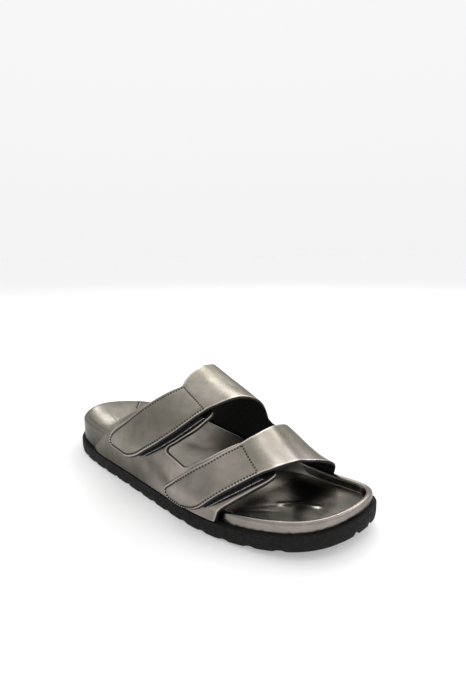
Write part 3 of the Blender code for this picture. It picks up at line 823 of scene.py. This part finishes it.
def tube(line, radius):
    """Rings of points round a line, and the quads between them."""
    along = unit(np.gradient(line, axis=0))
    first = unit(np.cross(along, TUBE_SIDEWAYS))
    second = np.cross(along, first)
    turns = np.linspace(0, 2 * math.pi, TUBE_SIDES, endpoint=False)[:, None]
    rings = [spot + radius * (np.cos(turns) * one + np.sin(turns) * two)
             for spot, one, two in zip(line, first, second)]
    return list(np.vstack(rings)), [face[::-1] for face in ring_faces(len(line), TUBE_SIDES)]


def selvage(name, table, kind, material):
    """The woven cord along the front edge of a loop tape."""
    _, front_inset, end_inset, depth = kind
    end = table[0][0] + (end_inset + PATCH_RADIUS / 2) / GIRTH_SCALE
    girths = np.linspace(end, PATCH_TOP, SELVAGE_STEPS)
    xs = edge_at(table, "front", girths) - front_inset + SELVAGE_REACH
    middle = last(xs, girths, np.full(SELVAGE_STEPS, depth + PATCH))
    points, faces = tube(middle, SELVAGE_RADIUS)
    build(name, points, faces, [material])


def loft(profiles):
    """Points and faces of a surface through profiles that stand round the footbed."""
    rings = np.array(profiles).transpose(1, 0, 2)
    return rings.reshape(-1, 3), [face[::-1] for face in ring_faces(len(rings), LOOP_POINTS)]


def footbed_loop():
    """The footbed's wall in plan as a loop, and for each point its place on the spine."""
    half = LOOP_POINTS // 2
    halves = []
    for side in outline_sides(FOOTBED_INSET):
        run = run_along(side)
        halves.append(at_runs(np.linspace(0, run[-1], half + 1), run, side))
    outer, inner = halves
    middle = (outer + inner) / 2
    heel, toe = SPINE_ENDS
    eased = heel + SPINE_EASE * np.log1p(np.exp((middle[:, 0] - heel) / SPINE_EASE))
    middle[:, 0] = np.minimum(eased, toe)
    rows = np.array(OUTLINE)
    middle[:, 1] = smooth(middle[:, 0], rows[:, 0], (rows[:, 1] + rows[:, 2]) / 2)
    is_outer = np.concatenate([np.ones(half + 1, bool), np.zeros(half - 1, bool)])
    dent = QUARTER_DENT * hump(outer[:, :1] - QUARTER_DENT_PLACE, QUARTER_DENT_REACH)
    outer = outer + dent * unit(middle - outer)
    return np.vstack([outer, inner[-2:0:-1]]), np.vstack([middle, middle[-2:0:-1]]), is_outer


def side_height(outer, name, x):
    """A height of the footbed's outer or inner side at x."""
    return height(("outer_" if outer else "inner_") + name, x)


def rim_turn(reach, rim, floor, flat_share, bowl):
    """How far the round rim turns over before the basin takes on."""
    fall = math.pi / 4
    for _ in range(TURN_ROUNDS):
        run = max(reach * (1 - flat_share) - RIM_RADIUS * (1 + math.sin(fall)), LEAST_RUN)
        drop = rim - RIM_RADIUS + RIM_RADIUS * math.cos(fall) - floor
        fall = math.atan2(bowl * max(drop, 0.0), run)
    return math.pi / 2 + fall


def rim_profile(rim, turn):
    """The wrapped rim from the wall over its round top and in, as (inward, up)."""
    turns = np.linspace(0, turn, RIM_STEPS + 1)
    inward = RIM_RADIUS * (1 - np.cos(turns))
    return np.column_stack([inward, rim - RIM_RADIUS + RIM_RADIUS * np.sin(turns)])


def basin_profile(reach, rim, floor, flat_share, bowl, turn):
    """The sock's top face from inside the rim to the spine, as (inward, up)."""
    start, high = rim_profile(rim, turn)[-1]
    run = max(reach * (1 - flat_share) - start, LEAST_RUN)
    share = np.linspace(0, 1, BASIN_STEPS + 1)
    slope = np.column_stack([start + run * share, floor + (high - floor) * (1 - share)**bowl])
    flat = np.linspace((start + run, floor), (reach, floor), FLOOR_STEPS + 1)[1:]
    return np.vstack([slope, flat])


def footbed_section(start, end, outer):
    """The rim and the basin of the footbed on the line from its wall to its spine."""
    rim, flat = (side_height(outer, name, start[0]) for name in ("rim", "flat"))
    facts = (np.linalg.norm(end - start), rim, height("floor", end[0]), flat, height("bowl", start[0]))
    turn = rim_turn(*facts)
    return rim_profile(rim, turn), basin_profile(*facts, turn)


def stand(start, end, profile):
    """A profile of (inward, up) set up between the footbed's wall and its spine."""
    way = end - start
    plan = start + way * (profile[:, :1] / np.linalg.norm(way))
    return np.column_stack([plan, profile[:, 1] + sole_top(plan[:, 0])])


def toe_relief(plan):
    """The soft ridge under the toes and the two creases beside it, as a height."""
    reliefs = [(TOE_RIDGE, TOE_RIDGE_HEIGHT, TOE_RIDGE_WIDTH)]
    reliefs += [(crease, -CREASE_DEPTH, CREASE_WIDTH) for crease in CREASES]
    rise = np.zeros(len(plan))
    for points, tall, width in reliefs:
        line = np.array(points)
        rise += tall * hump(distance_to_lines(plan, line[:-1], line[1:]), width)
    return rise


def make_sock(material):
    """The leather sock in the footbed's basin."""
    profiles = []
    for start, end, outer in zip(*footbed_loop()):
        _, basin = footbed_section(start, end, outer)
        profiles.append(stand(start, end, basin))
    points, faces = loft(profiles)
    points[:, 2] += toe_relief(points[:, :2])
    # Painted light and painted shade on the sock: lighter between the straps, darker on the inner side and
    # by the toe.
    satin_and_painted_light = np.interp(points[:, 0], SOCK_PAINTED_LIGHT, (0.0, 1.0, 1.0, 0.0))
    painted_light_between = 1 + satin_and_painted_light * (np.interp(points[:, 1], SOCK_PAINTED_LIGHT_ACROSS, SOCK_PAINTED_LIGHT_TONES) - 1)
    toe_spots = np.array(painted_light_spots(TOE_PAINTED_SHADE, points[:, 0], points[:, 1], 1.0))
    numbers = {"shade": painted_shade_inner_side(points) * painted_light_between * np.prod(1 + toe_spots, axis=0),
               "satin": np.interp(points[:, 0], SATIN_PLACE, (SATIN_HEEL, 1.0, 1.0, 0.0))}
    build("sock", points, faces, [material], ["insole"], numbers)


def make_wrap(material):
    """The leather over the footbed's wall and rim, puckered by the sole round the toe."""
    profiles = []
    wall, spine, is_outer = footbed_loop()
    fine, fine_pitch, fine_start = PUCKER_FINE
    for start, end, outer, along in zip(wall, spine, is_outer, 2 * math.pi * run_along(wall)):
        rim = side_height(outer, "rim", start[0])
        ups = np.linspace(GAP / 2, rim - RIM_RADIUS, WALL_STEPS + 1)
        wave = math.sin(along / PUCKER_PITCH) + fine * math.sin(along / fine_pitch + fine_start)
        here = np.interp(start[0], PUCKER_PLACE, PUCKER_SHARE)
        inward = PUCKER_DEPTH * max(wave, 0)**2 * here * np.clip(1 - ups / PUCKER_HEIGHT, 0, 1)
        over, _ = footbed_section(start, end, outer)
        profiles.append(stand(start, end, np.vstack([np.column_stack([inward, ups])[:-1], over])))
    points, faces = loft(profiles)
    # Painted shade on the wrap: darker towards the sole line, and on the inner side under the quarter.
    numbers = {"shade": painted_sole_shade(points)**WRAP_PAINTED_SOLE_SHADE * painted_shade_inner_side(points)}
    build("wrap", points, faces, [material], ["footbed"], numbers)


def make_heel_seam(material):
    """The seam of the leather inside the heel: a welt with a painted highlight beside one with painted
    shadow.
    """
    wall, spine, is_outer = footbed_loop()
    gap = np.where(is_outer, FAR, np.abs(wall[:, 0] - HEEL_SEAM_PLACE))
    points, faces, tones = [], [], []
    for k, tone in enumerate(HEEL_SEAM_HIGHLIGHT_AND_SHADOW, int(np.argmin(gap))):
        over, basin = footbed_section(wall[k], spine[k], False)
        profile = np.vstack([over[RIM_STEPS // 3:], basin[1:]])
        spots = np.linspace(0, HEEL_SEAM_LENGTH, HEEL_SEAM_STEPS)
        profile = at_runs(spots, run_along(profile), profile)
        ring, sides = tube(stand(wall[k], spine[k], profile), HEEL_SEAM_RADIUS)
        faces += shifted(sides, len(points))
        points += ring
        tones += [tone] * len(ring)
    build("heel_seam", points, faces, [material], [], {"shade": tones})


def groove_at(x):
    """How deep the tread's groove is at x, with soft shoulders."""
    step = (x - HEEL_LIFT_START) % GROOVE_PITCH
    inside = np.minimum(step, GROOVE_WIDTH - step)
    last_groove = HEEL_LIFT_START + GROOVE_COUNT * GROOVE_PITCH
    held = (x > HEEL_LIFT_START) & (x < last_groove)
    return np.where(held, GROOVE_DEPTH * ease(inside / GROOVE_RAMP), 0.0)


def end_notches(plan, at_toe):
    """How deep the notches at the toe or the heel are, at points in plan."""
    depth = np.zeros(len(plan))
    from_end = TOE_X - plan[:, 0] if at_toe else plan[:, 0] - HEEL_X
    near = np.flatnonzero(from_end < NOTCH_ZONE)
    along = np.arange(0, 2 * NOTCH_ZONE, NOTCH_STEP)
    lines = []
    for side in outline_sides(LUG_DRAFT):
        line = side[::-1] if at_toe else side
        lines.append(at_runs(along, run_along(line), line))
    apart = np.linalg.norm(plan[near][:, None] - np.vstack(lines)[None], axis=2)
    arc = np.concatenate([-along, along])[apart.argmin(axis=1)]
    places = np.array(TOE_NOTCHES if at_toe else HEEL_NOTCHES)
    gap = np.abs(arc[:, None] - places[None]).min(axis=1)
    fade = np.clip(1 - apart.min(axis=1) / NOTCH_REACH, 0, 1)
    depth[near] = NOTCH_DEPTH * ease((NOTCH_WIDTH / 2 - gap) / NOTCH_SLOPE) * fade
    return depth


def make_sole(material):
    """The moulded outsole with soft grooves and a line round its side."""
    sides = {inset: outline_sides(inset) for inset, _, _ in SIDE_PROFILE}

    def edge(side, inset, x):
        line = sides[inset][side]
        share = (x - HEEL_X) / (TOE_X - HEEL_X)
        moved = line[0, 0] + share * (line[-1, 0] - line[0, 0])
        return moved, float(side_at(line, moved))

    count = int((TOE_X - HEEL_X - 2 * END_ROUND) / SOLE_STEP)
    turns = np.linspace(0, math.pi / 2, END_STATIONS)
    stations = np.concatenate([HEEL_X + END_ROUND * (1 - np.cos(turns[:-1])),
                               np.linspace(HEEL_X + END_ROUND, TOE_X - END_ROUND, count),
                               TOE_X - END_ROUND * (1 - np.sin(turns[1:]))])
    low = [float(kind == "ground") for _, kind, _ in SIDE_PROFILE[1:]]
    treads = ([1.0] * SOLE_ACROSS + low + low[::-1]) * len(stations)
    shares = np.linspace(0, 1, SOLE_ACROSS)
    waves = WAVE * np.sin(WAVE_HALVES * math.pi * shares)
    edge_cuts = np.where(shares < 0.5, *GROOVE_EDGES)
    even = np.minimum(1, GROOVE_EVENS_OUT * np.minimum(shares, 1 - shares))
    cuts = edge_cuts + (1 - edge_cuts) * even
    points = []
    for x in stations:
        fade = float(np.clip(min(x - HEEL_X, TOE_X - x) / WAVE_FADE, 0, 1))
        groove = float(groove_at(x))
        walls = []
        for edge_cut in GROOVE_EDGES:
            levels = {"ground": float(lift(x)) + groove * edge_cut,
                      "lug": float(lift(x)) + LUG_DRAFT_HEIGHT, "top": float(sole_top(x))}
            walls.append([(inset, levels[kind] + up) for inset, kind, up in SIDE_PROFILE[1:]])
        (heelward, outer), (_, inner) = (edge(side, LUG_DRAFT, x) for side in range(2))
        forward = heelward + fade * waves
        across = outer + (inner - outer) * shares
        points += list(np.column_stack([forward, across, lift(forward) + groove * cuts]))
        points += [(*edge(1, inset, x), up) for inset, up in walls[1]]
        points += [(*edge(0, inset, x), up) for inset, up in walls[0][::-1]]
    size = len(points) // len(stations)
    points = np.array(points)
    for at_toe in (False, True):
        points[:, 2] += end_notches(points[:, :2], at_toe) * treads
    build("sole", points, ring_faces(len(stations), size), [material], ["outsole"])


class Nodes:
    """A small helper that adds and links the nodes of one material or world."""

    def __init__(self, name, kind="materials", shader="Principled BSDF"):
        self.owner = getattr(bpy.data, kind).new(name)
        self.owner.use_nodes = True
        self.tree = self.owner.node_tree
        self.shader = self.tree.nodes[shader]
        self.texture = self.add("ShaderNodeTexCoord").outputs

    def add(self, kind, inputs=None, **settings):
        node = self.tree.nodes.new(kind)
        for key, value in settings.items():
            setattr(node, key, value)
        for key, value in (inputs or {}).items():
            if isinstance(value, bpy.types.NodeSocket):
                self.tree.links.new(value, node.inputs[key])
            else:
                node.inputs[key].default_value = value
        return node

    def noise(self, scale, detail):
        inputs = {"Vector": self.texture["Object"], "Scale": scale, "Detail": detail}
        return self.add("ShaderNodeTexNoise", inputs).outputs["Fac"]

    def cells(self, scale, feature="SMOOTH_F1"):
        inputs = {"Vector": self.texture["Object"], "Scale": scale}
        return self.add("ShaderNodeTexVoronoi", inputs, feature=feature).outputs["Distance"]

    def ramp(self, fac, stops):
        node = self.add("ShaderNodeValToRGB", {"Fac": fac})
        marks = node.color_ramp.elements
        while len(marks) < len(stops):
            marks.new(0.5)
        for mark, (position, colour) in zip(marks, stops):
            mark.position = position
            mark.color = (*colour, 1.0)
        return node.outputs["Color"]

    def span(self, value, low, high, to_low, to_high, **settings):
        inputs = {"Value": value, "From Min": low, "From Max": high, "To Min": to_low, "To Max": to_high}
        return self.add("ShaderNodeMapRange", inputs, **settings).outputs["Result"]

    def math(self, operation, first, second):
        return self.add("ShaderNodeMath", {0: first, 1: second}, operation=operation).outputs[0]

    def vector(self, operation, inputs):
        return self.add("ShaderNodeVectorMath", inputs, operation=operation).outputs["Value"]

    def blend(self, fac, first, second, kind="MIX"):
        inputs = {"Factor": fac, 6: first, 7: second}
        return self.add("ShaderNodeMix", inputs, data_type="RGBA", blend_type=kind).outputs[2]

    def number(self, name):
        return self.add("ShaderNodeAttribute", attribute_name=name).outputs["Fac"]

    def bump(self, heights):
        inputs = {}
        for value, strength, distance in heights:
            inputs.update({"Height": value, "Strength": strength, "Distance": distance})
            inputs["Normal"] = self.add("ShaderNodeBump", inputs).outputs["Normal"]
        self.link("Normal", inputs["Normal"])

    def link(self, name, socket):
        self.tree.links.new(socket, self.shader.inputs[name])

    def set(self, **values):
        for name, value in values.items():
            self.shader.inputs[name.replace("_", " ")].default_value = value


def metallic_leather(name, tints, rough, sewn=False, satin_and_painted_light=False):
    """Satin leather with a metallic foil finish, fine grain, slow tints, and the painted light and shade of
    its pieces.
    """
    m = Nodes(name)
    tone = m.ramp(m.noise(26.0, 2.0), list(zip((0.30, 0.50, 0.70), tints)))
    cloud = m.ramp(m.noise(140.0, 4.0), [(0.30, (0.86, 0.86, 0.86)), (0.70, (1.09, 1.09, 1.09))])
    colour = m.blend(1.0, tone, cloud, "MULTIPLY")
    # The painted light and shade of each piece, from its shade numbers.
    colour = m.blend(1.0, colour, m.number("shade"), "MULTIPLY")
    # Painted highlight, edge paint with painted shadow, and painted seam shade, by the edge and seam
    # numbers.
    for mark, reach, strength, tint in EDGE_MARKS if sewn else ():
        colour = m.blend(m.span(m.number(mark), *reach, strength, 0.0), colour, tint)
    m.link("Base Color", colour)
    roughness = m.span(m.noise(60.0, 4.0), 0.3, 0.7, rough - 0.05, rough + 0.07)
    # Only the satin roughness here; the sock's painted light comes in with its shade numbers.
    if satin_and_painted_light:
        roughness = m.math("ADD", roughness, m.math("MULTIPLY", m.number("satin"), SATIN))
    m.link("Roughness", roughness)
    m.set(Metallic=1.0, Specular_Tint=(0.6, 0.6, 0.6, 1.0))
    m.bump([(m.noise(55.0, 3.0), 0.05, 0.0012), (m.cells(1150.0), 0.06, 0.00012),
            (m.noise(2600.0, 2.0), 0.06, 0.00005)])
    return m.owner


def plain(name, grain, tones, rough, shine, nap, pale_at=0.7):
    """A plain dark stuff of two tones.  A nap with no detail is made of cells."""
    m = Nodes(name)
    m.link("Base Color", m.ramp(m.noise(*grain), list(zip((0.3, pale_at), tones))))
    m.set(Roughness=rough, Specular_IOR_Level=shine)
    scale, detail, strength, depth = nap
    m.bump([(m.noise(scale, detail) if detail else m.cells(scale), strength, depth)])
    return m.owner


def tape(name, pale):
    """Black woven tape with its hooks or loops as a nap."""
    tones = ((0.006, 0.006, 0.007), (pale, pale, pale))
    return plain(name, (1500.0, 4.0), tones, 0.95, 0.15, (1600.0, 0.0, 0.6, 0.0003), 0.75)


def black_sole():
    """Black foamed rubber: matt, finely pitted, with tiny pale specks."""
    m = Nodes("black_sole")
    base = m.ramp(m.noise(500.0, 5.0), [(0.3, (0.007, 0.007, 0.007)), (0.7, (0.015, 0.0145, 0.014))])
    specks = m.span(m.cells(900.0, "F1"), 0.06, 0.12, 0.35, 0.0)
    m.link("Base Color", m.blend(specks, base, (0.04, 0.04, 0.04, 1.0)))
    m.link("Roughness", m.span(m.noise(300.0, 4.0), 0.3, 0.7, 0.62, 0.85))
    m.set(Specular_IOR_Level=0.12)
    m.bump([(m.cells(1400.0), 0.25, 0.00015), (m.noise(180.0, 4.0), 0.15, 0.0004)])
    return m.owner


def dress():
    """Builds every visible piece."""
    upper = [metallic_leather("pewter_leather", LEATHER_TINTS, 0.27, sewn=True),
             plain("lining", *LINING), plain("cut_edge", *CUT_EDGE)]
    sock = metallic_leather("sock_leather", SOCK_TINTS, 0.21, satin_and_painted_light=True)
    wrap = metallic_leather("wrap_leather", LEATHER_TINTS, 0.23)
    tape_sets = {kind: [tape(kind + "_tape", pale), tape(kind + "_back", TAPE_BACK),
                        tape(kind + "_edge", pale * TAPE_EDGE)] for kind, pale in TAPES}
    cord = tape("selvage", SELVAGE_TONE)
    seams = [tab_seam(REAR_STRAP, REAR_CROSS, TAB_RADIUS), cross_seam(REAR_CROSS),
             tab_seam(FRONT_STRAP, FRONT_CROSS, TAB_RADIUS), cross_seam(FRONT_CROSS)]

    straps = upper_grids(REAR_STRAP, FRONT_STRAP, INNER_NOTCH, 1.0, 0, TAB_RADIUS)
    leather_sheet("straps", straps, tab_rise, LEATHER, seams, upper, ["upper_inner"])
    quarter = upper_grids(REAR_STUB, FRONT_STUB, OUTER_NOTCH, 0.0, -1, STUB_RADIUS)
    leather_sheet("outer_quarter", quarter, level(-QUARTER_THICKNESS), QUARTER_THICKNESS, [],
                  upper, ["upper_outer"], EDGE_BEAD, QUARTER_LINING_ROUND, REAR_STUB)

    for seed, (where, table) in enumerate((("rear", REAR_STRAP), ("front", FRONT_STRAP))):
        for tape_name, kind in (("loop", LOOP_KIND), ("hook", HOOK_KIND)):
            tape_patch(f"{tape_name}_tape_{where}", table, kind, tape_sets[tape_name],
                       f"{tape_name}_patch_{where}")
        fuzz("fuzz_" + where, table, LOOP_KIND, seed, tape_sets["loop"][2])
        selvage("selvage_" + where, table, LOOP_KIND, cord)
    sew("stitches", seams, plain("thread", *THREAD))
    make_sock(sock)
    make_wrap(wrap)
    make_heel_seam(wrap)
    make_sole(black_sole())


def make_camera():
    """The camera at the photograph's viewing angle."""
    data = bpy.data.cameras.new("camera")
    data.sensor_width = SENSOR
    data.lens = FOCAL_PIXELS * SENSOR / FRAME_PIXELS
    data.clip_start = 0.01
    camera = add_object("camera", data)
    turn = Vector(SIGHT).to_track_quat("-Z", "Y").to_matrix().to_4x4()
    camera.matrix_world = Matrix.Translation(Vector(place(EYE))) @ turn @ Matrix.Rotation(ROLL, 4, "Z")
    bpy.context.scene.camera = camera


def make_floor():
    """A plain pale floor, lit a little from below as a light table is."""
    turns = [2 * math.pi * k / FLOOR_SIDES for k in range(FLOOR_SIDES)]
    points = [(FLOOR_RADIUS * math.cos(turn), FLOOR_RADIUS * math.sin(turn), -FLOOR_DROP) for turn in turns]
    mesh = bpy.data.meshes.new("floor")
    mesh.from_pydata(points, [], [tuple(range(FLOOR_SIDES))])
    m = Nodes("floor")
    pale = m.ramp(m.noise(3.0, 2.0), [(0.3, (0.74, 0.74, 0.74)), (0.7, (0.75, 0.75, 0.75))])
    away = m.vector("LENGTH", {0: m.texture["Object"]})
    m.link("Base Color", m.blend(m.span(away, *FLOOR_FADE, 0.0, 1.0), pale, FLOOR_FAR))
    m.set(Roughness=0.7, Emission_Color=WHITE, Emission_Strength=FLOOR_GLOW)
    mesh.materials.append(m.owner)
    floor = add_object("floor", mesh)


def make_light():
    """Soft boxes, and an even pale sky with one grey flag low at the side."""
    for name, spot, (width, tall), power in LIGHTS:
        data = bpy.data.lights.new(name, "AREA")
        data.shape = "RECTANGLE"
        data.size = width
        data.size_y = tall
        data.energy = power
        light = add_object(name, data)
        light.location = spot
        light.rotation_euler = (Vector(LIGHT_AIM) - Vector(spot)).to_track_quat("-Z", "Y").to_euler()
    sky = Nodes("studio", "worlds", "Background")
    way = sky.texture["Generated"]
    up = sky.add("ShaderNodeSeparateXYZ", {0: way}).outputs["Z"]
    pale = sky.span(up, 0.0, 1.0, SKY_LOW, SKY_HIGH)
    toward = sky.vector("DOT_PRODUCT", {0: way, 1: Vector(FLAG_WAY).normalized()})
    flag = sky.span(toward, *FLAG_REACH, 1.0, FLAG_SHADE, interpolation_type="SMOOTHSTEP")
    sky.link("Strength", sky.math("MULTIPLY", pale, flag))
    sky.set(Color=WHITE)
    bpy.context.scene.world = sky.owner
    bpy.context.scene.view_settings.view_transform = "Standard"


dress()
make_camera()
make_floor()
make_light()
